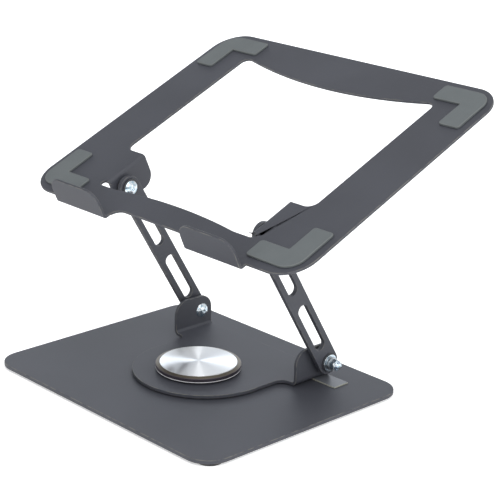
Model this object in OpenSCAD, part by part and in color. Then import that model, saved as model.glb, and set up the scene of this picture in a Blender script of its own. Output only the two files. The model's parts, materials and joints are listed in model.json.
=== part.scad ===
// Laptop stand of bent sheet steel: a weighted base plate, a swivel plate with two ears,
// two slotted arms on friction pivots, and a tray with a large window and two front lips.
// Millimetres. +X is the stand's right, +Y its back, +Z up. The origin is the middle of the
// stand's outer box, on the surface that the feet rest on.

/* [Base] */
// Width of the base plate, left to right
base_w = 250; // [220:1:280]
// Depth of the base plate, front to back
base_d = 202; // [190:1:230]
// Thickness of the base plate
base_t = 3; // [3:0.5:5]
// Radius of the base plate's corners
base_corner = 20; // [8:1:40]
// Height of the rubber feet
foot_h = 2; // [1:0.5:4]
// Radius of a rubber foot
foot_r = 10; // [6:1:12]
// From the base's side edge to the middle of a foot
foot_inset = 13; // [12:1:20]
// Front feet, ahead of the base's middle
foot_front = 86; // [70:1:90]
// Rear feet, behind the base's middle
foot_rear = 52; // [40:1:70]

/* [Swivel] */
// Swivel axis, behind the base's middle
swivel_back = 2.4; // [0:0.1:10]
// Thickness of the swivel plate and its ears
plate_t = 2.5; // [2:0.5:2.5]
// Radius of the plate's round tongue
tongue_r = 55.9; // [52:0.1:57]
// Middle of the tongue's round end, behind the swivel axis
tongue_back = 6.1; // [0:0.1:10]
// Rear edge of the plate, behind the swivel axis
wing_rear = 74.1; // [70:0.1:80]
// Depth of the wings and ears, front to back
wing_d = 38; // [32:1:42]
// Radius where the tongue meets the wings
wing_fillet = 8; // [4:1:10]
// Thickness of the slip disc and of the glide strips
slip_t = 1; // [0.8:0.1:1.5]
// Radius of the slip disc
slip_r = 46; // [40:1:48]
// Length of a glide strip, outwards
glide_l = 40; // [36:1:44]
// Width of a glide strip, front to back
glide_w = 15; // [10:1:18]
// Radius of the swivel stud, an M8 thread
stud_r = 4; // [4:0.5:5]

/* [Hub] */
// Outer radius of the hub rim
hub_r = 33.2; // [32:0.1:36]
// Radius of the neck below the hub rim
neck_r = 30; // [29.5:0.5:31]
// From the swivel plate to the top of the hub rim's straight wall
hub_wall_h = 5.2; // [4:0.1:6]
// From the swivel plate to the top of the hub rim's bevel
hub_h = 6.2; // [5.8:0.1:7]
// Radius of the pivot cap
cap_r = 30; // [28:0.1:31]
// Thickness of the pivot cap
cap_t = 0.8; // [0.5:0.1:1.2]
// Rise of the cap's middle above its edge
cap_rise = 0.6; // [0.3:0.1:1.5]
// From the swivel plate to the trim ring under the rim
trim_z = 2; // [1:0.1:3]
// Thickness of the trim ring
trim_h = 0.5; // [0.3:0.1:1]

/* [Ears] */
// From the middle to an ear's inner face
ear_x = 68; // [66:0.5:68]
// Height of the ears above the base plate
ear_h = 29; // [27:0.5:32]
// Radius of the ears' top corners
ear_corner = 11.5; // [6:0.5:12]
// Inside radius of the bend below each ear
ear_bend = 2.5; // [1:0.5:3]
// Lower pivot, behind the swivel axis
ear_pivot_y = 63.9; // [60:0.1:65]
// Lower pivot, above the base plate
ear_pivot_z = 16.1; // [15.5:0.1:18]

/* [Arms] */
// Distance between an arm's two pivots
arm_len = 137; // [137:1:160]
// Width of an arm
arm_w = 19; // [16:0.5:20]
// Thickness of an arm
arm_t = 3.8; // [3:0.1:4]
// From the middle to an arm's inner face
arm_x = 73.8; // [73:0.1:74.4]
// Forward lean of the arms from upright
arm_lean = 31.2; // [10:0.1:60]
// Width of an arm's slots
slot_w = 9.6; // [8:0.1:12]
// Length of an arm's slots
slot_len = 46.5; // [40:0.5:48]
// From each pivot to the near end of its slot
slot_start = 15.25; // [14:0.25:17]

/* [Tray] */
// Width of the tray
tray_w = 298; // [280:1:320]
// Thickness of the tray's sheet
tray_t = 2; // [1.5:0.5:2.5]
// Slope of the tray, front edge low
tray_tilt = 23.6; // [0:0.1:29]
// Top face of the tray, above the upper pivot
tray_up = 12.3; // [12:0.1:14]
// Rear edge of the tray, behind the upper pivot
tray_rear = 196.1; // [190:0.1:210]
// Front edge of the tray, ahead of the upper pivot
tray_front = 41.4; // [40:0.1:44]
// Radius of the tray's corners
tray_corner = 25; // [15:1:30]
// Set-back of the front edge between the lips
front_cut = 6.7; // [4:0.1:10]
// Width of the tray's window
window_w = 207.2; // [196:0.2:210]
// Front edge of the window's wide part, behind the upper pivot
window_front = 27.2; // [25:0.1:30]
// Rear edge of the window at its middle, behind the upper pivot
window_rear = 154.7; // [150:0.1:160]
// Radius of the window's curved rear edge
window_rear_r = 391.5; // [350:0.5:600]
// Radius of the window's rear corners
window_rear_corner = 6; // [4:1:10]
// Radius of the window's front corners
window_corner = 8; // [4:1:12]
// Rear edge of the front strip at its middle, ahead of the upper pivot
strip_rear = 12.8; // [12.5:0.1:14]
// Radius of the front strip's curved rear edge
strip_rear_r = 494; // [450:1:600]

/* [Lips and flanges] */
// Inner end of each lip, from the middle
lip_in = 45.9; // [40:0.1:50]
// Outer end of each lip, from the middle
lip_out = 103.3; // [98:0.1:110]
// Height of the lips above the tray
lip_h = 22; // [18:0.5:30]
// Front face of the lips, ahead of the upper pivot
lip_front = 47.4; // [46:0.1:50]
// Radius of the lips' top corners
lip_corner = 12; // [4:1:16]
// Inside radius of the tray's bends
tray_bend = 1; // [0.5:0.1:1.5]
// Inner face of each flange, from the middle
flange_x = 80.5; // [80.5:0.1:82]
// Front edge of the flanges, ahead of the upper pivot
flange_front = 11.8; // [11:0.1:12]
// Drop of the flanges below the tray's top face
flange_drop = 25.5; // [24:0.1:26]
// Radius of the flanges' lower corners
flange_corner = 11; // [6:0.5:12]
// Width of the relief slot ahead of each flange
relief_w = 5.5; // [4:0.1:6]

/* [Pads] */
// Thickness of the corner pads
pad_t = 2; // [1:0.5:3]
// Size of a corner pad, left to right
pad_w = 46; // [40:1:48]
// Size of a corner pad, front to back
pad_d = 44; // [40:1:48]
// Width of a pad's leg along the tray's side
pad_side = 18.8; // [14:0.2:20]
// Width of a pad's leg along the tray's front or rear edge
pad_end = 17.4; // [14:0.2:18]
// Radius of a pad's outer corner
pad_corner = 14; // [8:1:16]
// Radius of a pad's other corners
pad_small_corner = 2.5; // [1:0.5:3]
// From the tray's side edge to a pad
pad_inset = 6.2; // [5:0.1:8]
// From the tray's front and rear edges to a pad
pad_gap = 6.8; // [6:0.1:8]

/* [Fasteners] */
// Radius of the pivot bolts, an M5 thread
bolt_r = 2.5; // [2:0.5:2.5]
// Radius of a pivot bolt's domed head
head_r = 6.2; // [5:0.1:6.5]
// Height of a pivot bolt's domed head
head_h = 2.9; // [2:0.1:3]
// Radius of the pivots' plastic and steel washers
washer_r = 7.5; // [6:0.1:8]
// Width of a lock nut across its flats
nut_af = 8; // [8:0.5:9]
// Height of a lock nut
nut_h = 5; // [4:0.5:6]
// Thickness of a plastic slip washer
slip_washer_t = 1; // [0.8:0.1:1]

/* [Hidden] */
$fn = 96;
EPS = 0.01;
RUN = 0.05;
SEAT = 0.02;
HEX_FN = 6;
EDGE_FN = 720;
DOME_STEPS = 16;
SIDES = [-1, 1];

// Heights along the swivel axis, from the base plate's top face
plate_z = slip_t;
plate_top = plate_z + plate_t;
washer_h = 0.8;
stud_washer_r = 8;
stud_nut_af = 13;
stud_nut_h = 3.2;
stud_head_r = 7;
stud_head_h = 1.5;
cap_z = plate_top + hub_h - cap_t + 0.2;
hub_ledge_w = 1.2;

// Bend below an ear: its axis and its two radii
bend_x = ear_x - ear_bend;
bend_z = plate_top + ear_bend;
bend_out = ear_bend + plate_t;
ear_out = ear_x + plate_t;
wing_front = wing_rear - wing_d;
glide_in = ear_out - 20.5;
glide_mid = ear_pivot_y + 1.6;

// Lower pivot: faces along the bolt, from the middle outwards
lower_spacer_t = arm_x - ear_out - 2 * slip_washer_t;
lower_spacer_x = ear_out + slip_washer_t;
arm_out = arm_x + arm_t;
lower_outer_slip_t = 0.8;
flat_washer_t = 1.2;
flat_washer_r = 6.7;
lower_flat_x = arm_out + lower_outer_slip_t;
spring_t = 1;
spring_r = 5;
lower_spring_x = lower_flat_x + flat_washer_t;
lower_spring_count = 3;
lower_nut_x = lower_spring_x + lower_spring_count * spring_t;
bolt_end = 1.5;

// Upper pivot: faces along the bolt, from the middle outwards
upper_head_x = arm_x - flat_washer_t;
upper_spacer_t = flange_x - arm_out - 2 * slip_washer_t;
upper_spacer_x = arm_out + slip_washer_t;
flange_out = flange_x + tray_t;
upper_flat_x = flange_out + SEAT;
upper_flat_t = flat_washer_t - SEAT;
upper_spring_count = 2;
upper_spring_x = flange_out + flat_washer_t;
upper_nut_x = upper_spring_x + upper_spring_count * spring_t;
bore_r = bolt_r + RUN;

// The tray in its own frame: the upper pivot is the origin, z is square to the sheet
tray_top = tray_up;
tray_under = tray_up - tray_t;
tray_bend_out = tray_bend + tray_t;
cut_corner = 10;
lip_bend_y = -lip_front + tray_bend_out;
flange_bend_x = flange_x + tray_bend_out;
relief_r = relief_w / 2;
relief_x = flange_bend_x - 0.25;
window_arc_y = window_rear + window_rear_r;
window_fillet_x = window_w / 2 - window_rear_corner;
window_fillet_y = window_arc_y
    - sqrt(pow(window_rear_r + window_rear_corner, 2) - pow(window_fillet_x, 2));
pad_x = tray_w / 2 - pad_inset;

// Places in the stand's frame
base_top = foot_h + base_t;
top_pivot_back = swivel_back + ear_pivot_y - arm_len * sin(arm_lean);
rear_reach = top_pivot_back + tray_rear * cos(tray_tilt) - tray_under * sin(tray_tilt);
base_y = (base_d / 2 - rear_reach) / 2;

// ---- places ----

module at_base() {
    translate([0, base_y, foot_h]) children();
}

module at_swivel() {
    translate([0, base_y + swivel_back, base_top]) children();
}

module at_lower_pivot() {
    at_swivel() translate([0, ear_pivot_y, ear_pivot_z]) children();
}

module at_arms() {
    at_lower_pivot() rotate([arm_lean, 0, 0]) children();
}

module at_upper_pivot() {
    at_arms() translate([0, 0, arm_len]) rotate([-arm_lean, 0, 0]) children();
}

module at_tray() {
    at_upper_pivot() rotate([tray_tilt, 0, 0]) children();
}

// Turns a solid made along +Z to lie along the stand's +X (side 1) or -X (side -1), its foot at x
module outward(side, x) {
    mirror([side < 0 ? 1 : 0, 0, 0]) translate([x, 0, 0]) rotate([0, 90, 0]) children();
}

// Extrudes an outline drawn in Y and Z by t along +X, from x, on one side
module side_sheet(side, x, t) {
    mirror([side < 0 ? 1 : 0, 0, 0])
        translate([x, 0, 0]) rotate([90, 0, 90]) linear_extrude(t) children();
}

// ---- outlines ----

module rounded_rect(w, d, r) {
    square([w - 2 * r, d], center = true);
    square([w, d - 2 * r], center = true);
    for (x = SIDES) for (y = SIDES) {
        translate([x * (w / 2 - r), y * (d / 2 - r)]) circle(r);
    }
}

// Material that rounds an inside corner: the corner is the origin, the hole lies at +X +Y
module corner_fill(r) {
    difference() {
        translate([-EPS, -EPS]) square(r + EPS);
        translate([r, r]) circle(r);
    }
}

// A plate's end: flat to the origin, its far corners rounded by r
module rounded_end(w, h, r) {
    square([w, h - r]);
    translate([r, 0]) square([w - 2 * r, h]);
    for (x = [r, w - r]) {
        translate([x, h - r]) circle(r);
    }
}

// ---- base ----

module base_plate() {
    color("dimgray") at_base() difference() {
        linear_extrude(base_t) rounded_rect(base_w, base_d, base_corner);
        translate([0, swivel_back, -1]) cylinder(r = stud_r + RUN, h = base_t + 2);
        translate([0, swivel_back, -1]) cylinder(r = stud_head_r + RUN, h = stud_head_h + 1);
    }
}

module foot(side, y) {
    foot_lip = 0.4;
    color("black") translate([side * (base_w / 2 - foot_inset), base_y + y, 0]) {
        cylinder(r1 = foot_r - foot_lip, r2 = foot_r, h = foot_lip);
        translate([0, 0, foot_lip]) cylinder(r = foot_r, h = foot_h - foot_lip);
    }
}

module swivel_stud() {
    stud_top = plate_top + washer_h + stud_nut_h + 0.2;
    color("silver") at_swivel() {
        translate([0, 0, -base_t]) cylinder(r = stud_head_r, h = stud_head_h);
        translate([0, 0, -base_t]) cylinder(r = stud_r, h = base_t + stud_top);
    }
}

module swivel_washer() {
    color("silver") at_swivel() translate([0, 0, plate_top]) difference() {
        cylinder(r = stud_washer_r, h = washer_h);
        translate([0, 0, -1]) cylinder(r = stud_r + RUN, h = washer_h + 2);
    }
}

module swivel_nut() {
    color("silver") at_swivel() translate([0, 0, plate_top + washer_h]) difference() {
        cylinder(d = stud_nut_af / cos(30), h = stud_nut_h, $fn = HEX_FN);
        translate([0, 0, -1]) cylinder(r = stud_r, h = stud_nut_h + 2);
    }
}

// ---- swivel ----

module slip_disc() {
    color("#1c1c1e") at_swivel() difference() {
        cylinder(r = slip_r, h = slip_t);
        translate([0, 0, -1]) cylinder(r = stud_r + RUN, h = slip_t + 2);
    }
}

module swivel_outline() {
    translate([0, tongue_back]) circle(tongue_r);
    translate([-tongue_r, tongue_back]) square([2 * tongue_r, wing_rear - tongue_back]);
    translate([-bend_x, wing_front]) square([2 * bend_x, wing_d]);
    for (side = SIDES) {
        mirror([side < 0 ? 1 : 0, 0])
            translate([tongue_r, wing_front]) mirror([0, 1]) corner_fill(wing_fillet);
    }
}

// Bend and ear as one bent strip, then trimmed to the ear's outline
module ear(side) {
    intersection() {
        mirror([side < 0 ? 1 : 0, 0, 0])
            translate([0, wing_rear, 0]) rotate([90, 0, 0]) linear_extrude(wing_d) {
                translate([bend_x, bend_z]) difference() {
                    intersection() {
                        circle(bend_out);
                        translate([0, -bend_out]) square(bend_out);
                    }
                    circle(ear_bend);
                }
                translate([ear_x, bend_z]) square([plate_t, ear_h - bend_z]);
            }
        side_sheet(side, bend_x - 1, bend_out + 2)
            translate([wing_front, -1]) rounded_end(wing_d, ear_h + 1, ear_corner);
    }
}

module swivel_plate() {
    color("#5d5d66") at_swivel() difference() {
        union() {
            translate([0, 0, plate_z]) linear_extrude(plate_t) swivel_outline();
            for (side = SIDES) ear(side);
        }
        translate([0, 0, plate_z - 1]) cylinder(r = stud_r + RUN, h = plate_t + 2);
        for (side = SIDES) {
            translate([0, ear_pivot_y, ear_pivot_z])
                outward(side, ear_x - 1) cylinder(r = bore_r, h = plate_t + 2);
        }
    }
}

module glide(side) {
    color("gainsboro") at_swivel() mirror([side < 0 ? 1 : 0, 0, 0])
        translate([glide_in, glide_mid - glide_w / 2, 0]) cube([glide_l, glide_w, slip_t]);
}

module hub_rim() {
    ledge_z = cap_z - plate_top;
    lip_r = cap_r + 0.1;
    color("#6a6258") at_swivel() translate([0, 0, plate_top]) rotate_extrude() polygon([
        [lip_r - hub_ledge_w, 0],
        [neck_r, 0],
        [neck_r, trim_z + trim_h],
        [hub_r, trim_z + trim_h],
        [hub_r, hub_wall_h],
        [lip_r, hub_h],
        [lip_r, ledge_z],
        [lip_r - hub_ledge_w, ledge_z],
    ]);
}

module hub_trim_ring() {
    color("white") at_swivel() translate([0, 0, plate_top + trim_z])
        ring(hub_r, neck_r + RUN, trim_h);
}

module hub_cap() {
    dome = [for (i = [0 : DOME_STEPS])
        let (x = cap_r * (1 - i / DOME_STEPS)) [x, cap_t + cap_rise * (1 - pow(x / cap_r, 2))]];
    color("silver") at_swivel() translate([0, 0, cap_z]) rotate_extrude()
        polygon(concat([[0, 0], [cap_r, 0]], dome));
}

// ---- fasteners ----

module ring(r_out, r_in, t) {
    difference() {
        cylinder(r = r_out, h = t);
        translate([0, 0, -1]) cylinder(r = r_in, h = t + 2);
    }
}

// Domed bolt: the head's flat face is at z = 0, the shank runs up and the dome hangs below
module domed_bolt(shank) {
    ball_r = (head_r * head_r + head_h * head_h) / (2 * head_h);
    socket_af = 3;
    socket_d = 1.7;
    difference() {
        intersection() {
            translate([0, 0, ball_r - head_h]) sphere(ball_r);
            translate([0, 0, -head_h]) cylinder(r = head_r, h = head_h);
        }
        translate([0, 0, -head_h - 1])
            cylinder(d = socket_af / cos(30), h = socket_d + 1, $fn = HEX_FN);
    }
    cylinder(r = bolt_r, h = shank);
}

// A stack of thin cones, each the other way up
module disc_springs(count) {
    blank = 0.6;
    dish = spring_t - blank - 2 * EPS;
    for (i = [0 : count - 1]) {
        inner_z = i % 2 == 0 ? dish : 0;
        outer_z = i % 2 == 0 ? 0 : dish;
        translate([0, 0, i * spring_t]) rotate_extrude() polygon([
            [bore_r, inner_z],
            [spring_r, outer_z],
            [spring_r, outer_z + blank],
            [bore_r, inner_z + blank],
        ]);
    }
}

module lock_nut() {
    collar_h = 1.1;
    collar_r = nut_af / 2 - 0.3;
    difference() {
        union() {
            cylinder(d = nut_af / cos(30), h = nut_h - collar_h, $fn = HEX_FN);
            cylinder(r = collar_r, h = nut_h);
        }
        translate([0, 0, -1]) cylinder(r = bolt_r, h = nut_h + 2);
    }
}

module lower_bolt(side) {
    color("lightsteelblue") at_lower_pivot()
        outward(side, ear_x) domed_bolt(lower_nut_x + nut_h + bolt_end - ear_x);
}

module lower_slip_washers(side) {
    color("#1c1c1e") at_lower_pivot() {
        outward(side, ear_out) ring(washer_r, bore_r, slip_washer_t);
        outward(side, arm_x - slip_washer_t) ring(washer_r, bore_r, slip_washer_t);
        outward(side, arm_out) ring(washer_r, bore_r, lower_outer_slip_t);
    }
}

module lower_spacer(side) {
    color("silver") at_lower_pivot()
        outward(side, lower_spacer_x) ring(washer_r, bore_r, lower_spacer_t);
}

module lower_flat_washer(side) {
    color("lightsteelblue") at_lower_pivot()
        outward(side, lower_flat_x) ring(flat_washer_r, bore_r, flat_washer_t);
}

module lower_disc_springs(side) {
    color("silver") at_lower_pivot() outward(side, lower_spring_x) disc_springs(lower_spring_count);
}

module lower_nut(side) {
    color("silver") at_lower_pivot() outward(side, lower_nut_x) lock_nut();
}

module upper_bolt(side) {
    color("lightsteelblue") at_upper_pivot()
        outward(side, upper_head_x) domed_bolt(upper_nut_x + nut_h + bolt_end - upper_head_x);
}

module upper_head_washer(side) {
    color("#1c1c1e") at_upper_pivot()
        outward(side, upper_head_x) ring(washer_r, bore_r, flat_washer_t);
}

module upper_slip_washers(side) {
    color("#1c1c1e") at_upper_pivot() {
        outward(side, arm_out) ring(washer_r, bore_r, slip_washer_t);
        outward(side, flange_x - slip_washer_t) ring(washer_r, bore_r, slip_washer_t);
    }
}

module upper_spacer(side) {
    color("silver") at_upper_pivot()
        outward(side, upper_spacer_x) ring(washer_r, bore_r, upper_spacer_t);
}

module upper_flat_washer(side) {
    color("lightsteelblue") at_upper_pivot()
        outward(side, upper_flat_x) ring(flat_washer_r, bore_r, upper_flat_t);
}

module upper_disc_springs(side) {
    color("silver") at_upper_pivot() outward(side, upper_spring_x) disc_springs(upper_spring_count);
}

module upper_nut(side) {
    color("silver") at_upper_pivot() outward(side, upper_nut_x) lock_nut();
}

// ---- arms ----

module slot(start) {
    r = slot_w / 2;
    translate([-r, start + r]) square([slot_w, slot_len - slot_w]);
    for (y = [start + r, start + slot_len - r]) {
        translate([0, y]) circle(r);
    }
}

module arm(side) {
    color("#5d5d66") at_arms() difference() {
        side_sheet(side, arm_x, arm_t) difference() {
            union() {
                translate([-arm_w / 2, 0]) square([arm_w, arm_len]);
                circle(d = arm_w);
                translate([0, arm_len]) circle(d = arm_w);
            }
            slot(slot_start);
            slot(arm_len - slot_start - slot_len);
        }
        for (z = [0, arm_len]) {
            translate([0, 0, z]) outward(side, arm_x - 1) cylinder(r = bore_r, h = arm_t + 2);
        }
    }
}

// ---- tray ----

// The window: a wide part behind, a narrow part between the flanges, and two relief slots
module window_outline() {
    narrow_front = flange_front + relief_w;
    difference() {
        union() {
            translate([-window_w / 2, window_front])
                square([window_w, window_fillet_y + 4 * window_rear_corner - window_front]);
            translate([-flange_bend_x, -flange_front])
                square([2 * flange_bend_x, flange_front + window_front + EPS]);
            translate([-relief_x, -narrow_front]) square([2 * relief_x, relief_w + EPS]);
            for (side = SIDES) {
                translate([side * relief_x, -flange_front - relief_r]) circle(relief_r);
            }
        }
        translate([0, window_arc_y]) circle(window_rear_r, $fn = EDGE_FN);
        translate([0, -strip_rear - strip_rear_r]) circle(strip_rear_r, $fn = EDGE_FN);
        for (side = SIDES) mirror([side < 0 ? 1 : 0, 0]) {
            translate([window_w / 2, window_front]) mirror([1, 0]) corner_fill(window_corner);
            window_rear_fill();
        }
    }
}

// Material that rounds the window's rear corner, where its side meets the curved rear edge
module window_rear_fill() {
    r = window_rear_corner;
    touch_x = window_fillet_x - r * window_fillet_x / (window_rear_r + r);
    difference() {
        translate([touch_x, window_fillet_y]) square([window_w / 2 + EPS - touch_x, 4 * r]);
        translate([window_fillet_x, window_fillet_y]) circle(r);
    }
}

module tray_outline() {
    mid_y = (tray_rear - tray_front) / 2;
    difference() {
        union() {
            translate([0, mid_y]) rounded_rect(tray_w, tray_rear + tray_front, tray_corner);
            for (side = SIDES) mirror([side < 0 ? 1 : 0, 0]) {
                translate([lip_in, lip_bend_y]) square([lip_out - lip_in, tray_front]);
            }
        }
        translate([0, -tray_front + front_cut - 20]) rounded_rect(2 * lip_in, 40, cut_corner);
        window_outline();
    }
}

module lip(side) {
    bend_z = tray_top + tray_bend;
    intersection() {
        mirror([side < 0 ? 1 : 0, 0, 0])
            translate([lip_in, 0, 0]) rotate([90, 0, 90]) linear_extrude(lip_out - lip_in) {
                translate([lip_bend_y, bend_z]) difference() {
                    intersection() {
                        circle(tray_bend_out);
                        translate([-tray_bend_out, -tray_bend_out]) square(tray_bend_out);
                    }
                    circle(tray_bend);
                }
                translate([-lip_front, bend_z]) square([tray_t, lip_h - tray_bend]);
            }
        mirror([side < 0 ? 1 : 0, 0, 0])
            translate([lip_in, -lip_front + tray_bend_out + 1, tray_under - 1]) rotate([90, 0, 0])
                linear_extrude(tray_bend_out + 2)
                    rounded_end(lip_out - lip_in, lip_h + tray_t + 1, lip_corner);
    }
}

module flange(side) {
    bend_z = tray_top - tray_bend_out;
    length = flange_front + window_front;
    intersection() {
        mirror([side < 0 ? 1 : 0, 0, 0])
            translate([0, window_front, 0]) rotate([90, 0, 0]) linear_extrude(length) {
                translate([flange_bend_x, bend_z]) difference() {
                    intersection() {
                        circle(tray_bend_out);
                        translate([-tray_bend_out, 0]) square(tray_bend_out);
                    }
                    circle(tray_bend);
                }
                translate([flange_x, tray_top - flange_drop])
                    square([tray_t, flange_drop - tray_bend_out]);
            }
        side_sheet(side, flange_x - 1, tray_bend_out + 2)
            translate([-flange_front, tray_top + 1]) mirror([0, 1])
                rounded_end(length, flange_drop + 1, flange_corner);
    }
}

module tray_plate() {
    color("#5d5d66") at_tray() difference() {
        union() {
            translate([0, 0, tray_under]) linear_extrude(tray_t) tray_outline();
            for (side = SIDES) {
                lip(side);
                flange(side);
            }
        }
        for (side = SIDES) {
            outward(side, flange_x - 1) cylinder(r = bore_r, h = tray_t + 2);
        }
    }
}

// An L of soft plastic: the outer corner is at +X +Y, and it is drawn from that corner inwards
module pad_outline() {
    difference() {
        union() {
            translate([-pad_side / 2, -pad_d / 2]) rounded_rect(pad_side, pad_d, pad_small_corner);
            translate([-pad_w / 2, -pad_end / 2]) rounded_rect(pad_w, pad_end, pad_small_corner);
        }
        translate([-pad_corner, -pad_corner]) difference() {
            square(2 * pad_corner);
            circle(pad_corner);
        }
    }
}

module pad(side, rear) {
    y = rear ? tray_rear - pad_gap : -tray_front + pad_gap;
    color("#73777c") at_tray() mirror([side < 0 ? 1 : 0, 0, 0])
        translate([pad_x, y, tray_top]) mirror([0, rear ? 0 : 1, 0])
            linear_extrude(pad_t) pad_outline();
}

base_plate();
foot(-1, -foot_front);  // foot_front_left
foot(1, -foot_front);  // foot_front_right
foot(-1, foot_rear);  // foot_rear_left
foot(1, foot_rear);  // foot_rear_right
swivel_stud();
swivel_washer();
swivel_nut();
slip_disc();
swivel_plate();
glide(-1);  // glide_left
glide(1);  // glide_right
hub_rim();
hub_trim_ring();
hub_cap();
lower_bolt(-1);  // lower_bolt_left
lower_bolt(1);  // lower_bolt_right
lower_slip_washers(-1);  // lower_slip_washers_left
lower_slip_washers(1);  // lower_slip_washers_right
lower_spacer(-1);  // lower_spacer_left
lower_spacer(1);  // lower_spacer_right
lower_flat_washer(-1);  // lower_flat_washer_left
lower_flat_washer(1);  // lower_flat_washer_right
lower_disc_springs(-1);  // lower_disc_springs_left
lower_disc_springs(1);  // lower_disc_springs_right
lower_nut(-1);  // lower_nut_left
lower_nut(1);  // lower_nut_right
arm(-1);  // arm_left
arm(1);  // arm_right
upper_bolt(-1);  // upper_bolt_left
upper_bolt(1);  // upper_bolt_right
upper_head_washer(-1);  // upper_head_washer_left
upper_head_washer(1);  // upper_head_washer_right
upper_slip_washers(-1);  // upper_slip_washers_left
upper_slip_washers(1);  // upper_slip_washers_right
upper_spacer(-1);  // upper_spacer_left
upper_spacer(1);  // upper_spacer_right
upper_flat_washer(-1);  // upper_flat_washer_left
upper_flat_washer(1);  // upper_flat_washer_right
upper_disc_springs(-1);  // upper_disc_springs_left
upper_disc_springs(1);  // upper_disc_springs_right
upper_nut(-1);  // upper_nut_left
upper_nut(1);  // upper_nut_right
tray_plate();
pad(-1, false);  // pad_front_left
pad(1, false);  // pad_front_right
pad(-1, true);  // pad_rear_left
pad(1, true);  // pad_rear_right
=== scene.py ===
import json
import math

import bmesh
import bpy
from mathutils import Matrix, Vector

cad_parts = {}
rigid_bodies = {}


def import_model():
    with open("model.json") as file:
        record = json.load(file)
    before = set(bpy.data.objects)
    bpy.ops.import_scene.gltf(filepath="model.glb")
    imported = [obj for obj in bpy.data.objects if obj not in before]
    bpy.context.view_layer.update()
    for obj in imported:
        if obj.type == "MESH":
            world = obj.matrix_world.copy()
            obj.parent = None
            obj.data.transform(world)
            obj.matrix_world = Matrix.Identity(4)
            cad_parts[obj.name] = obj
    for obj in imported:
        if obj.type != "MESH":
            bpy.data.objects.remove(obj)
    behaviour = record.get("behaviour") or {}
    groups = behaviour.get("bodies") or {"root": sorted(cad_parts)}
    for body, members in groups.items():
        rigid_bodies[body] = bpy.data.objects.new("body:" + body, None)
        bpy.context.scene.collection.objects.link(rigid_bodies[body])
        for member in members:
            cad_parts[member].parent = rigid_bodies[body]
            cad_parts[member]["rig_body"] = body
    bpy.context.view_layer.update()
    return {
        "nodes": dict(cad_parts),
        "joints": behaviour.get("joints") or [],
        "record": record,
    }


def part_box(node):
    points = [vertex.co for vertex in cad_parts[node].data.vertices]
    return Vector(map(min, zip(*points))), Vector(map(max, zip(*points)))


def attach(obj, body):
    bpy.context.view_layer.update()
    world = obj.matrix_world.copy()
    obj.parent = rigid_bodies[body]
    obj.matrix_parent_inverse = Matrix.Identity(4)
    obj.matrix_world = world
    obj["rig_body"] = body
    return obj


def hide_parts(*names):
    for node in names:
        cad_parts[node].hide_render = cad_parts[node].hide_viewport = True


# A desk stand for a laptop: powder-coated sheet steel, zinc-plated pivots, a turned hub with a
# spun cap, and soft pads. Every place comes from the frame; sizes of added detail are in metres.

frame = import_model()

MM = 0.001
SIDES = {"left": -1, "right": 1}
JOINT_AT = {joint["name"]: Vector(joint["pos_m"]) for joint in frame["joints"]}
SWIVEL = JOINT_AT["swivel_turn"]
LOWER = JOINT_AT["arm_lift"]
UPPER = JOINT_AT["pivot_level"]
UP = Vector((0, 0, 1))
ACROSS = Vector((1, 0, 0))

WELD = 0.001 * MM
BASE_EDGE = 0.35 * MM
SWIVEL_EDGE = 0.28 * MM
ARM_EDGE = 0.28 * MM
TRAY_EDGE = 0.3 * MM
PAD_EDGE = 0.55 * MM
GLIDE_EDGE = 0.12 * MM
SLIP_DISC_EDGE = 0.2 * MM
WASHER_EDGE = 0.18 * MM
SMALL_EDGE = 0.15 * MM
SPRING_EDGE = 0.08 * MM
BOLT_R = 2.5 * MM
RIM_BEVEL_H = 1.0 * MM
RIM_WALL_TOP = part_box("hub_rim")[1].z - RIM_BEVEL_H


# ---- shader maths ----


class Value:
    """A shader number that adds Math nodes when it is used in an expression."""

    def __init__(self, finish, socket):
        self.finish = finish
        self.socket = socket

    def maths(self, operation, first, second=0.0, clamp=False):
        settings = {"operation": operation, "use_clamp": clamp}
        made = self.finish.node("ShaderNodeMath", settings, {0: first, 1: second})
        return Value(self.finish, made.outputs[0])

    def __add__(self, other):
        return self.maths("ADD", self, other)

    def __radd__(self, other):
        return self.maths("ADD", other, self)

    def __sub__(self, other):
        return self.maths("SUBTRACT", self, other)

    def __rsub__(self, other):
        return self.maths("SUBTRACT", other, self)

    def __mul__(self, other):
        return self.maths("MULTIPLY", self, other)

    def __rmul__(self, other):
        return self.maths("MULTIPLY", other, self)

    def held(self):
        """The same number, kept between 0 and 1."""
        return self.maths("ADD", self, 0.0, clamp=True)

    def above(self, low, high):
        """0 under low and 1 over high, with a smooth rise between them."""
        settings = {"interpolation_type": "SMOOTHSTEP"}
        sockets = {"Value": self, "From Min": low, "From Max": high}
        made = self.finish.node("ShaderNodeMapRange", settings, sockets)
        return Value(self.finish, made.outputs[0])


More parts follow.
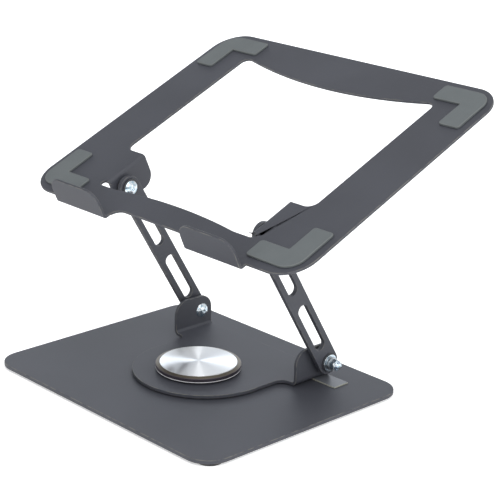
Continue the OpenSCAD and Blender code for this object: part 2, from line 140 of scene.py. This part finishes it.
class Finish:
    """One material: its shader, and short ways to add nodes to it."""

    def __init__(self, name, **constants):
        self.material = bpy.data.materials.new(name)
        self.start(self.material, "Principled BSDF", "Object")
        self.set(**constants)

    def start(self, holder, shader, place):
        """Opens the nodes of a material or a world."""
        holder.use_nodes = True
        self.tree = holder.node_tree
        self.shader = self.tree.nodes[shader]
        self.place = self.node("ShaderNodeTexCoord").outputs[place]

    def node(self, kind, settings=None, sockets=None):
        made = self.tree.nodes.new(kind)
        for key, value in (settings or {}).items():
            setattr(made, key, value)
        for key, value in (sockets or {}).items():
            self.feed(made.inputs[key], value)
        return made

    def feed(self, socket, value):
        if isinstance(value, Value):
            value = value.socket
        if isinstance(value, bpy.types.NodeSocket):
            self.tree.links.new(value, socket)
        else:
            socket.default_value = value

    def set(self, **values):
        for key, value in values.items():
            self.feed(self.shader.inputs[key.replace("_", " ")], value)

    def stretched(self, scale, centre=(0, 0, 0)):
        """Object coordinates counted from a centre and scaled along each axis."""
        moved = self.node("ShaderNodeVectorMath", {"operation": "SUBTRACT"}, {0: self.place, 1: centre})
        made = self.node("ShaderNodeMapping", {"vector_type": "POINT"}, {0: moved.outputs[0]})
        made.inputs["Scale"].default_value = scale
        return made.outputs[0]

    def noise(self, scale, detail=2.0, roughness=0.5, at=None):
        sockets = {"Vector": at or self.place, "Scale": scale, "Detail": detail, "Roughness": roughness}
        return Value(self, self.node("ShaderNodeTexNoise", {}, sockets).outputs[0])

    def lines(self, distance, detail, roughness):
        """Noise that changes with one distance only, so it makes lines or rings."""
        row = self.node("ShaderNodeCombineXYZ", {}, {0: distance})
        return self.noise(1.0, detail, roughness, at=row.outputs[0])

    def attribute(self, name):
        made = self.node("ShaderNodeAttribute", {"attribute_name": name})
        return Value(self, made.outputs["Fac"])

    def along(self, axis, centre=(0, 0, 0)):
        """Distance from a centre along one of the object's axes, numbered 0 to 2."""
        moved = self.node("ShaderNodeVectorMath", {"operation": "SUBTRACT"}, {0: self.place, 1: centre})
        split = self.node("ShaderNodeSeparateXYZ", {}, {0: moved.outputs[0]})
        return Value(self, split.outputs[axis])

    def radius(self, centre, flat_axis):
        """Distance from a line through centre along flat_axis."""
        keep = [1.0, 1.0, 1.0]
        keep[flat_axis] = 0.0
        moved = self.node("ShaderNodeVectorMath", {"operation": "SUBTRACT"}, {0: self.place, 1: centre})
        flat = self.node("ShaderNodeVectorMath", {"operation": "MULTIPLY"}, {0: moved.outputs[0], 1: keep})
        length = self.node("ShaderNodeVectorMath", {"operation": "LENGTH"}, {0: flat.outputs[0]})
        return Value(self, length.outputs["Value"])

    def mix(self, amount, first, second):
        sockets = {0: amount, 6: first, 7: second}
        return self.node("ShaderNodeMix", {"data_type": "RGBA"}, sockets).outputs[2]

    def bump(self, height, depth, strength=1.0, under=None):
        sockets = {"Height": height, "Distance": depth, "Strength": strength}
        if under is not None:
            sockets["Normal"] = under
        return self.node("ShaderNodeBump", {}, sockets).outputs[0]


class Sky(Finish):
    """The studio all round: one background, brighter and darker by direction."""

    def __init__(self, name):
        self.world = bpy.data.worlds.new(name)
        self.start(self.world, "Background", "Generated")

    def near(self, direction, inner, outer):
        """1 within the inner angle of a direction, 0 beyond the outer one."""
        sockets = {0: self.place, 1: direction}
        made = self.node("ShaderNodeVectorMath", {"operation": "DOT_PRODUCT"}, sockets)
        facing = Value(self, made.outputs["Value"])
        return facing.above(math.cos(math.radians(outer)), math.cos(math.radians(inner)))


def rgb(red, green, blue):
    return (red, green, blue, 1.0)


# ---- finishes ----


def coated_steel():
    """Dark grey powder coat: fine grain, soft orange peel, and lighter edges that are partly rubbed wear
    and partly a painted highlight.
    """
    finish = Finish("coated_steel", Specular_IOR_Level=0.42)
    clouds = finish.noise(14.0, 3.0)
    grain = finish.noise(2600.0, 1.0)
    peel = finish.noise(420.0, 2.0)
    dust = finish.noise(900.0, 2.0, 0.6).above(0.66, 0.78)
    # Rounded edges painted lighter in patches: partly rubbed paint, partly a painted highlight along the
    # edges.
    wear_and_highlight = (finish.attribute("edge") * finish.noise(160.0, 3.0).above(0.35, 0.62)).held()
    patches = clouds.above(0.3, 0.7) * 0.6 + grain * 0.4
    coat = finish.mix(patches, rgb(0.038, 0.040, 0.050), rgb(0.054, 0.057, 0.070))
    coat = finish.mix(dust * 0.18, coat, rgb(0.12, 0.12, 0.125))
    # Painted highlight and wear: the edges are mixed towards a pale warm grey.
    coat = finish.mix(wear_and_highlight * 0.7, coat, rgb(0.165, 0.160, 0.135))
    skin = finish.bump(peel, 0.05 * MM, 0.35)
    skin = finish.bump(grain, 0.03 * MM, 0.45, under=skin)
    rough = 0.5 + clouds * 0.08 + grain * 0.05 - wear_and_highlight * 0.08
    finish.set(Base_Color=coat, Roughness=rough, Normal=skin)
    return finish.material


def soft_pad():
    """Matte grey silicone with a faint pebble and dust in it, and a painted highlight along its rounded
    edges.
    """
    finish = Finish("pad_silicone", Specular_IOR_Level=0.35)
    clouds = finish.noise(60.0, 3.0)
    pebble = finish.noise(1500.0, 2.0)
    dust = finish.noise(700.0, 3.0, 0.7).above(0.6, 0.75)
    rim = finish.attribute("edge")
    tone = finish.mix(clouds, rgb(0.098, 0.110, 0.114), rgb(0.120, 0.133, 0.137))
    tone = finish.mix(dust * 0.25, tone, rgb(0.20, 0.21, 0.21))
    # Painted highlight: the rounded edge faces are mixed towards a paler grey.
    tone = finish.mix(rim * 0.35, tone, rgb(0.17, 0.175, 0.165))
    finish.set(
        Base_Color=tone,
        Roughness=0.62 + pebble * 0.12,
        Normal=finish.bump(pebble, 0.04 * MM, 0.5),
    )
    return finish.material


def spun_aluminium():
    """Fine rings turned round the hub, brighter and duller by turns."""
    finish = Finish("spun_aluminium", Metallic=1.0, Anisotropic=1.0, Anisotropic_Rotation=0.25)
    out = finish.radius(SWIVEL, 2)
    rings = finish.lines(out * 5200.0, 3.0, 0.7)
    bands = finish.lines(out * 500.0, 2.0, 0.5)
    marks = rings * 0.7 + bands * 0.3
    tone = finish.mix(marks, rgb(0.58, 0.60, 0.62), rgb(0.78, 0.78, 0.77))
    finish.set(
        Base_Color=tone,
        Roughness=0.27 + marks * 0.08,
        Normal=finish.bump(rings, 0.004 * MM, 0.3),
    )
    return finish.material


def turned_rim():
    """Dark blued steel with a warm bevel, turned like the cap."""
    finish = Finish("rim_steel", Metallic=0.85, Specular_IOR_Level=0.5)
    height = finish.along(2, SWIVEL)
    wall_top = RIM_WALL_TOP - SWIVEL.z
    bevel = height.above(wall_top - 0.2 * MM, wall_top + 0.3 * MM)
    turned = finish.lines(height * 6000.0, 2.0, 0.6)
    tone = finish.mix(bevel, rgb(0.080, 0.070, 0.090), rgb(0.108, 0.093, 0.069))
    tone = finish.mix(turned * 0.25, tone, rgb(0.13, 0.115, 0.10))
    finish.set(Base_Color=tone, Roughness=0.30 + turned * 0.14)
    return finish.material


def zinc_plate():
    """Bright zinc with a blue passivation that shifts from spot to spot, and rubbed edges."""
    finish = Finish("zinc_steel", Metallic=1.0)
    film = finish.noise(420.0, 2.0, 0.6)
    spots = finish.noise(2400.0, 2.0)
    edge = finish.attribute("edge")
    tone = finish.mix(film.above(0.35, 0.65), rgb(0.42, 0.56, 0.66), rgb(0.74, 0.78, 0.80))
    tone = finish.mix(film.above(0.6, 0.8) * 0.5, tone, rgb(0.30, 0.40, 0.66))
    tone = finish.mix(edge * 0.6, tone, rgb(0.86, 0.88, 0.88))
    finish.set(
        Base_Color=tone,
        Roughness=0.16 + spots * 0.16,
        Normal=finish.bump(spots, 0.01 * MM, 0.4),
    )
    return finish.material


def spring_steel():
    """Plated spring steel, a little hazy."""
    finish = Finish("spring_steel", Metallic=1.0)
    film = finish.noise(900.0, 2.0)
    tone = finish.mix(film, rgb(0.34, 0.36, 0.38), rgb(0.58, 0.60, 0.62))
    finish.set(Base_Color=tone, Roughness=0.26 + film * 0.12)
    return finish.material


def black_acetal():
    """Smooth black plastic with paler worn edges."""
    finish = Finish("black_acetal", Specular_IOR_Level=0.45)
    haze = finish.noise(300.0, 3.0)
    tone = finish.mix(haze, rgb(0.012, 0.012, 0.014), rgb(0.026, 0.026, 0.030))
    tone = finish.mix(finish.attribute("edge") * 0.5, tone, rgb(0.07, 0.07, 0.08))
    finish.set(Base_Color=tone, Roughness=0.36 + haze * 0.12)
    return finish.material


def foot_rubber():
    """Matte black rubber with a fine pebble."""
    finish = Finish("foot_rubber", Specular_IOR_Level=0.3)
    pebble = finish.noise(1300.0, 3.0)
    tone = finish.mix(pebble, rgb(0.012, 0.012, 0.012), rgb(0.030, 0.030, 0.031))
    finish.set(Base_Color=tone, Roughness=0.78, Normal=finish.bump(pebble, 0.06 * MM, 0.6))
    return finish.material


def glide_plastic():
    """Milky sheet plastic: its face takes the dark plate under it, its cut edges stay pale."""
    finish = Finish("glide_plastic", Specular_IOR_Level=0.5)
    haze = finish.noise(90.0, 3.0)
    scuff = finish.noise(30.0, 4.0, 0.7, at=finish.stretched((2.0, 24.0, 2.0))).above(0.5, 0.75)
    edge = finish.attribute("edge")
    side = finish.attribute("wall")
    tone = finish.mix(haze, rgb(0.085, 0.092, 0.108), rgb(0.125, 0.132, 0.146))
    tone = finish.mix(scuff * 0.2, tone, rgb(0.22, 0.225, 0.235))
    tone = finish.mix((edge + side).held(), tone, rgb(0.33, 0.33, 0.28))
    finish.set(Base_Color=tone, Roughness=0.34 + haze * 0.12)
    return finish.material


def trim_plastic():
    """White plastic, slightly hazy."""
    finish = Finish("trim_plastic", Specular_IOR_Level=0.5)
    haze = finish.noise(300.0, 2.0)
    tone = finish.mix(haze, rgb(0.60, 0.60, 0.62), rgb(0.78, 0.78, 0.80))
    finish.set(Base_Color=tone, Roughness=0.22 + haze * 0.1)
    return finish.material


def nylon():
    """The blue locking ring in a lock nut."""
    finish = Finish("nylon_insert", Specular_IOR_Level=0.5)
    haze = finish.noise(700.0, 2.0)
    tone = finish.mix(haze, rgb(0.03, 0.06, 0.22), rgb(0.05, 0.10, 0.34))
    finish.set(Base_Color=tone, Roughness=0.35)
    return finish.material


FINISHES = {
    "coated_steel": coated_steel(),
    "pad_silicone": soft_pad(),
    "spun_aluminium": spun_aluminium(),
    "rim_steel": turned_rim(),
    "zinc_steel": zinc_plate(),
    "spring_steel": spring_steel(),
    "black_acetal": black_acetal(),
    "foot_rubber": foot_rubber(),
    "glide_plastic": glide_plastic(),
    "trim_plastic": trim_plastic(),
}
NYLON = nylon()


# ---- making pieces ----


def body_of(node):
    return frame["nodes"][node]["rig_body"]


def slot_of(node):
    for subpart in frame["record"]["subparts"]:
        if subpart["node"] == node:
            return subpart["material_slot"]
    raise ValueError(node)


def shade(mesh, sharp_angle):
    for face in mesh.polygons:
        face.use_smooth = True
    mesh.set_sharp_from_angle(angle=sharp_angle)


def weigh_normals(piece):
    """Flat faces stay flat beside their rounded edges: the normals follow the larger faces."""
    modifier = piece.modifiers.new("weigh", "WEIGHTED_NORMAL")
    modifier.keep_sharp = True
    modifier.weight = 80
    settled = piece.evaluated_get(bpy.context.evaluated_depsgraph_get())
    mesh = bpy.data.meshes.new_from_object(settled)
    piece.modifiers.clear()
    piece.data = mesh


def add_piece(name, bm, node, material=None, sharp_angle=math.radians(40), weigh=True):
    """Turns a bmesh into a piece that rides with a node's body and takes its finish."""
    mesh = bpy.data.meshes.new(name)
    bm.to_mesh(mesh)
    bm.free()
    shade(mesh, sharp_angle)
    mesh.materials.append(material or FINISHES[slot_of(node)])
    piece = bpy.data.objects.new(name, mesh)
    bpy.context.scene.collection.objects.link(piece)
    if weigh:
        weigh_normals(piece)
    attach(piece, body_of(node))
    return piece


def solid_of(node):
    """A node's shape as whole faces: its triangles joined where they lie flat."""
    bm = bmesh.new()
    bm.from_mesh(frame["nodes"][node].data)
    bmesh.ops.remove_doubles(bm, verts=bm.verts, dist=WELD)
    bmesh.ops.dissolve_limit(
        bm,
        angle_limit=math.radians(0.4),
        use_dissolve_boundaries=False,
        verts=bm.verts,
        edges=bm.edges,
    )
    return bm


def ease(bm, edge, segments, sharp=math.radians(33)):
    """Rounds the sharp edges, and marks the new faces so that a finish can find them."""
    mark = bm.faces.layers.float.new("edge")
    corners = [e for e in bm.edges if e.is_manifold and e.calc_face_angle() > sharp]
    made = bmesh.ops.bevel(
        bm,
        geom=corners,
        offset=edge,
        offset_type="OFFSET",
        affect="EDGES",
        segments=segments,
        profile=0.5,
        clamp_overlap=False,
        material=-1,
    )
    for face in made["faces"]:
        face[mark] = 1.0


def eased_node(node, name, edge, segments=2, wall_mark=False):
    """A piece with a node's shape and rounded edges, in the node's place."""
    bm = solid_of(node)
    if wall_mark:
        walls = bm.faces.layers.float.new("wall")
        for face in bm.faces:
            face[walls] = 1.0 if abs(face.normal.z) < 0.5 else 0.0
    ease(bm, edge, segments)
    piece = add_piece(name, bm, node)
    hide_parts(node)
    return piece


def turn_profile(bm, points, origin, axis, steps=96):
    """Turns an outline of (distance out, distance along) round an axis through origin."""
    out = axis.orthogonal().normalized()
    chain = [bm.verts.new(origin + out * r + axis * h) for r, h in points]
    edges = [bm.edges.new(pair) for pair in zip(chain, chain[1:])]
    bmesh.ops.spin(
        bm,
        geom=chain + edges,
        cent=origin,
        axis=axis,
        angle=2 * math.pi,
        steps=steps,
        use_merge=True,
        use_duplicate=False,
    )
    bmesh.ops.remove_doubles(bm, verts=bm.verts, dist=WELD)
    bmesh.ops.dissolve_degenerate(bm, edges=bm.edges, dist=WELD)
    bmesh.ops.recalc_face_normals(bm, faces=bm.faces)


def arc(centre, radius, start, end, steps):
    """Points of a round stretch of an outline, angles in degrees from straight out."""
    angles = [math.radians(start + (end - start) * i / steps) for i in range(steps + 1)]
    return [(centre[0] + radius * math.cos(a), centre[1] + radius * math.sin(a)) for a in angles]


# ---- base ----


def make_base():
    eased_node("base_plate", "base_slab", BASE_EDGE, 3)
    for row in ("front", "rear"):
        for side in SIDES:
            make_foot(f"foot_{row}_{side}")
    for node in ("swivel_stud", "swivel_washer", "swivel_nut"):
        eased_node(node, node.replace("swivel", "pivot"), SMALL_EDGE)


def make_foot(node):
    """A moulded button: round sides, a shallow dish in the face it stands on."""
    low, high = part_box(node)
    middle = (low + high) / 2
    r = (high.x - low.x) / 2
    h = high.z - low.z
    soft = 0.5 * MM
    dish = 0.35 * MM
    bm = bmesh.new()
    outline = [(0, dish), (r * 0.55, dish), (r * 0.66, 0.1 * MM), (r * 0.72, 0)]
    outline += arc((r - soft, soft), soft, -90, 0, 5)
    outline += [(r, h), (0, h)]
    turn_profile(bm, outline, Vector((middle.x, middle.y, low.z)), UP, 64)
    piece = add_piece(node.replace("foot", "button"), bm, node)
    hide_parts(node)


# ---- swivel ----


def make_swivel():
    eased_node("swivel_plate", "swivel_sheet", SWIVEL_EDGE, 3)
    eased_node("slip_disc", "slip_sheet", SLIP_DISC_EDGE)
    for side in SIDES:
        eased_node(f"glide_{side}", f"glide_strip_{side}", GLIDE_EDGE, wall_mark=True)
    make_rim()
    make_trim()
    make_cap()


def make_rim():
    """The turned ring: a waist above its lower edge, a long bevel, a rolled lip and a neck."""
    low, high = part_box("hub_rim")
    r = (high.x - low.x) / 2
    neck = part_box("hub_cap")[1].x
    lip = neck + 0.1 * MM
    inside = lip - 1.2 * MM
    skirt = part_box("hub_trim_ring")[1].z - low.z
    top = high.z - low.z
    wall = RIM_WALL_TOP - low.z
    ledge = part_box("hub_cap")[0].z - low.z
    soft = 0.2 * MM
    groove = 0.3 * MM
    waist = skirt + 0.55 * MM
    bm = bmesh.new()
    outline = [(inside, 0), (neck, 0), (neck, skirt), (r - soft, skirt)]
    outline += arc((r - soft, skirt + soft), soft, -90, 0, 3)[1:]
    outline += [(r, waist), (r - groove, waist + 0.2 * MM), (r - groove, waist + 0.5 * MM)]
    outline += [(r, waist + 0.7 * MM), (r, wall - soft), (r - 0.1 * MM, wall)]
    outline += [(lip + 0.35 * MM, top - 0.05 * MM), (lip + 0.15 * MM, top), (lip, top - 0.15 * MM)]
    outline += [(lip, ledge), (inside, ledge), (inside, 0)]
    turn_profile(bm, outline, Vector((SWIVEL.x, SWIVEL.y, low.z)), UP, 128)
    piece = add_piece("hub_ring", bm, "hub_rim", sharp_angle=math.radians(24))
    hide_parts("hub_rim")


def make_trim():
    """The thin pale ring held under the rim."""
    low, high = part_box("hub_trim_ring")
    outer = (high.x - low.x) / 2
    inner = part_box("hub_cap")[1].x + 0.05 * MM
    h = high.z - low.z
    soft = 0.15 * MM
    bm = bmesh.new()
    outline = [(inner, 0), (outer - soft, 0)]
    outline += arc((outer - soft, soft), soft, -90, 0, 3)[1:]
    outline += arc((outer - soft, h - soft), soft, 0, 90, 3)
    outline += [(inner, h), (inner, 0)]
    turn_profile(bm, outline, Vector((SWIVEL.x, SWIVEL.y, low.z)), UP, 128)
    piece = add_piece("hub_trim", bm, "hub_trim_ring")
    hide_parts("hub_trim_ring")


def make_cap():
    """The spun cap: a shallow dome with a rounded edge."""
    low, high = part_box("hub_cap")
    r = (high.x - low.x) / 2
    h = high.z - low.z
    edge_t = 0.8 * MM
    soft = 0.22 * MM
    steps = 40
    bm = bmesh.new()
    outline = [(0, 0), (r - soft, 0)]
    outline += arc((r - soft, soft), soft, -90, 0, 3)[1:]
    outline += arc((r - soft, edge_t - soft), soft, 0, 80, 3)
    rise = h - edge_t
    for i in range(1, steps):
        x = (r - soft) * (1 - i / steps)
        outline.append((x, edge_t + rise * (1 - (x / r) ** 2)))
    outline.append((0, h))
    turn_profile(bm, outline, Vector((SWIVEL.x, SWIVEL.y, low.z)), UP, 160)
    piece = add_piece("spun_cap", bm, "hub_cap", weigh=False)
    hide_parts("hub_cap")


# ---- pivots ----


def make_lock_nut(node, name, centre, side):
    """A hexagon cut from a turned blank, so its corners have round chamfers, with a collar."""
    low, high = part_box(node)
    h = high.x - low.x
    flat = (high.y - low.y) / 2
    corner = flat / math.cos(math.pi / 6)
    axis = ACROSS * side
    inner = low.x if side > 0 else high.x
    origin = Vector((inner, centre.y, centre.z))
    collar = flat - 0.3 * MM
    roll = 0.6 * MM
    body = h - 1.1 * MM
    cut = 0.45 * MM
    bm = bmesh.new()
    outline = [(BOLT_R, 0), (flat - 0.1 * MM, 0), (corner, cut), (corner, body - cut), (flat, body)]
    outline += [(collar, body)]
    outline += arc((collar - roll, h - roll), roll, 0, 90, 4)
    outline += [(BOLT_R + 0.5 * MM, h), (BOLT_R, h - 0.3 * MM), (BOLT_R, 0)]
    turn_profile(bm, outline, origin, axis, 72)
    for i in range(6):
        angle = math.radians(60 * i)
        out = Vector((0, math.cos(angle), math.sin(angle)))
        cut_flat(bm, origin + out * flat, out)
    ease(bm, 0.12 * MM, 2)
    piece = add_piece(name, bm, node)
    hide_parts(node)


def cut_flat(bm, point, out):
    """Takes off what lies beyond a plane and closes the cut."""
    geom = bm.verts[:] + bm.edges[:] + bm.faces[:]
    made = bmesh.ops.bisect_plane(
        bm, geom=geom, dist=WELD, plane_co=point, plane_no=out, clear_outer=True
    )
    rim = [e for e in made["geom_cut"] if isinstance(e, bmesh.types.BMEdge)]
    bmesh.ops.holes_fill(bm, edges=rim, sides=0)


def make_insert(node, name, centre, side):
    """The locking ring that shows round the bolt in the nut's collar."""
    low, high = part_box(node)
    axis = ACROSS * side
    outer = high.x if side > 0 else low.x
    origin = Vector((outer, centre.y, centre.z)) - axis * 0.9 * MM
    bm = bmesh.new()
    wall = 0.75 * MM
    ring_r = BOLT_R + 0.55 * MM
    outline = [(BOLT_R, 0), (ring_r, 0), (ring_r, wall), (BOLT_R + 0.1 * MM, wall + 0.1 * MM)]
    outline += [(BOLT_R, wall), (BOLT_R, 0)]
    turn_profile(bm, outline, origin, axis, 48)
    add_piece(name, bm, node, material=NYLON)


def make_bolt(node, nut, name, centre, side):
    """The bolt's head and shank, with the thread cut on the end that shows past the nut."""
    low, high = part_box(node)
    nut_low, nut_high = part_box(nut)
    axis = ACROSS * side
    seat = nut_high.x if side > 0 else nut_low.x
    tip = high.x if side > 0 else low.x
    start = Vector((seat, centre.y, centre.z)) - axis * 1.4 * MM
    bm = solid_of(node)
    cut_flat(bm, start, axis)
    ease(bm, 0.14 * MM, 2)
    piece = add_piece(name, bm, node)
    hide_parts(node)
    root = 2.15 * MM
    pitch = 0.8 * MM
    length = abs(tip - start.x)
    outline = [(0, 0), (root, 0)]
    height = 0.1 * MM
    while height + pitch < length:
        outline += [(root, height), (BOLT_R, height + 0.35 * pitch), (BOLT_R, height + 0.5 * pitch)]
        height += pitch
    outline += [(root, height), (BOLT_R - 0.1 * MM, height + 0.25 * pitch)]
    outline += [(root - 0.2 * MM, length), (0, length)]
    bm = bmesh.new()
    turn_profile(bm, outline, start, axis, 48)
    add_piece(name + "_thread", bm, node, sharp_angle=math.radians(25))


def make_pivots():
    for side, sign in SIDES.items():
        for row, centre in (("lower", LOWER), ("upper", UPPER)):
            nut = f"{row}_nut_{side}"
            make_lock_nut(nut, f"{row}_lock_nut_{side}", centre, sign)
            make_insert(nut, f"{row}_nut_insert_{side}", centre, sign)
            make_bolt(f"{row}_bolt_{side}", nut, f"{row}_screw_{side}", centre, sign)
            eased_node(f"{row}_slip_washers_{side}", f"{row}_slips_{side}", SMALL_EDGE)
            eased_node(f"{row}_spacer_{side}", f"{row}_sleeve_{side}", SMALL_EDGE)
            eased_node(f"{row}_flat_washer_{side}", f"{row}_plain_washer_{side}", WASHER_EDGE)
            eased_node(f"{row}_disc_springs_{side}", f"{row}_cone_washers_{side}", SPRING_EDGE)
        eased_node(f"upper_head_washer_{side}", f"upper_large_washer_{side}", WASHER_EDGE)


# ---- arms and tray ----


def make_arms():
    for side in SIDES:
        eased_node(f"arm_{side}", f"arm_bar_{side}", ARM_EDGE, 3)


def make_tray():
    eased_node("tray_plate", "tray_sheet", TRAY_EDGE, 3)
    for row in ("front", "rear"):
        for side in SIDES:
            eased_node(f"pad_{row}_{side}", f"soft_pad_{row}_{side}", PAD_EDGE, 4)


make_base()
make_swivel()
make_pivots()
make_arms()
make_tray()


# ---- stage, light and camera ----

AIM = Vector((0.02913, -0.00799, 0.10745))
DISTANCE = 1.22416
AZIMUTH = math.radians(46.463)
ELEVATION = math.radians(18.637)
ROLL = math.radians(1.228)
LENS = 117.363
FLOOR_HALF = 6.0
LAMP_DISTANCE = 1.8


def add_camera():
    data = bpy.data.cameras.new("camera")
    data.lens = LENS
    data.sensor_width = 36.0
    data.clip_start = 0.05
    data.clip_end = 20.0
    camera = bpy.data.objects.new("camera", data)
    bpy.context.scene.collection.objects.link(camera)
    turned = Matrix.Rotation(AZIMUTH, 3, "Z") @ Matrix.Rotation(math.pi / 2 - ELEVATION, 3, "X")
    turned = turned @ Matrix.Rotation(ROLL, 3, "Z")
    back = turned @ UP
    camera.matrix_world = Matrix.Translation(AIM + back * DISTANCE) @ turned.to_4x4()
    bpy.context.scene.camera = camera


def add_floor():
    finish = Finish("floor_paper", Specular_IOR_Level=0.1)
    fibre = finish.noise(300.0, 3.0)
    finish.set(
        Base_Color=finish.mix(fibre, rgb(0.93, 0.93, 0.93), rgb(0.96, 0.96, 0.96)),
        Emission_Color=rgb(1.0, 1.0, 1.0),
        Emission_Strength=0.45,
        Roughness=0.9,
    )
    bm = bmesh.new()
    bmesh.ops.create_grid(bm, x_segments=1, y_segments=1, size=FLOOR_HALF)
    mesh = bpy.data.meshes.new("floor")
    bm.to_mesh(mesh)
    bm.free()
    mesh.materials.append(finish.material)
    floor = bpy.data.objects.new("floor", mesh)
    bpy.context.scene.collection.objects.link(floor)


def toward(turn, height):
    """A direction turned right of the camera's view by one angle and raised by another."""
    heading = AZIMUTH - math.radians(turn)
    flat = Vector((-math.sin(heading), math.cos(heading), 0))
    return flat * math.cos(math.radians(height)) + UP * math.sin(math.radians(height))


def add_world():
    """White all round, with two dark screens hung high behind the stand."""
    sky = Sky("studio")
    left = sky.near(toward(-34, 42), 12, 24)
    right = sky.near(toward(34, 42), 9, 20)
    dark = (left * 0.85 + right * 0.6).held()
    tone = sky.mix(dark, rgb(0.98, 0.99, 1.0), rgb(0.10, 0.10, 0.11))
    sky.set(Color=tone, Strength=0.92)
    bpy.context.scene.world = sky.world


def add_softbox(name, place, aim, size, power, color=(1, 1, 1)):
    data = bpy.data.lights.new(name, "AREA")
    data.shape = "RECTANGLE"
    data.size, data.size_y = size
    data.energy = power
    data.color = color
    lamp = bpy.data.objects.new(name, data)
    lamp.location = place
    lamp.rotation_euler = (Vector(aim) - Vector(place)).to_track_quat("-Z", "Y").to_euler()
    bpy.context.scene.collection.objects.link(lamp)


def add_lights():
    middle = (0, 0, 0.05)
    cool = (0.80, 0.88, 1.0)
    add_softbox("softbox_back", toward(0, 22) * LAMP_DISTANCE, middle, (1.5, 0.6), 4.4, cool)
    add_softbox("softbox_top", toward(180, 82) * 1.9, middle, (0.5, 1.3), 7.0)
    add_softbox("softbox_right", (1.5, 0.5, 0.5), middle, (0.9, 0.6), 2.0)
    add_softbox("softbox_front", toward(165, 40) * LAMP_DISTANCE, middle, (1.2, 0.8), 9.0)


add_camera()
add_floor()
add_world()
add_lights()
bpy.context.scene.view_settings.view_transform = "Standard"
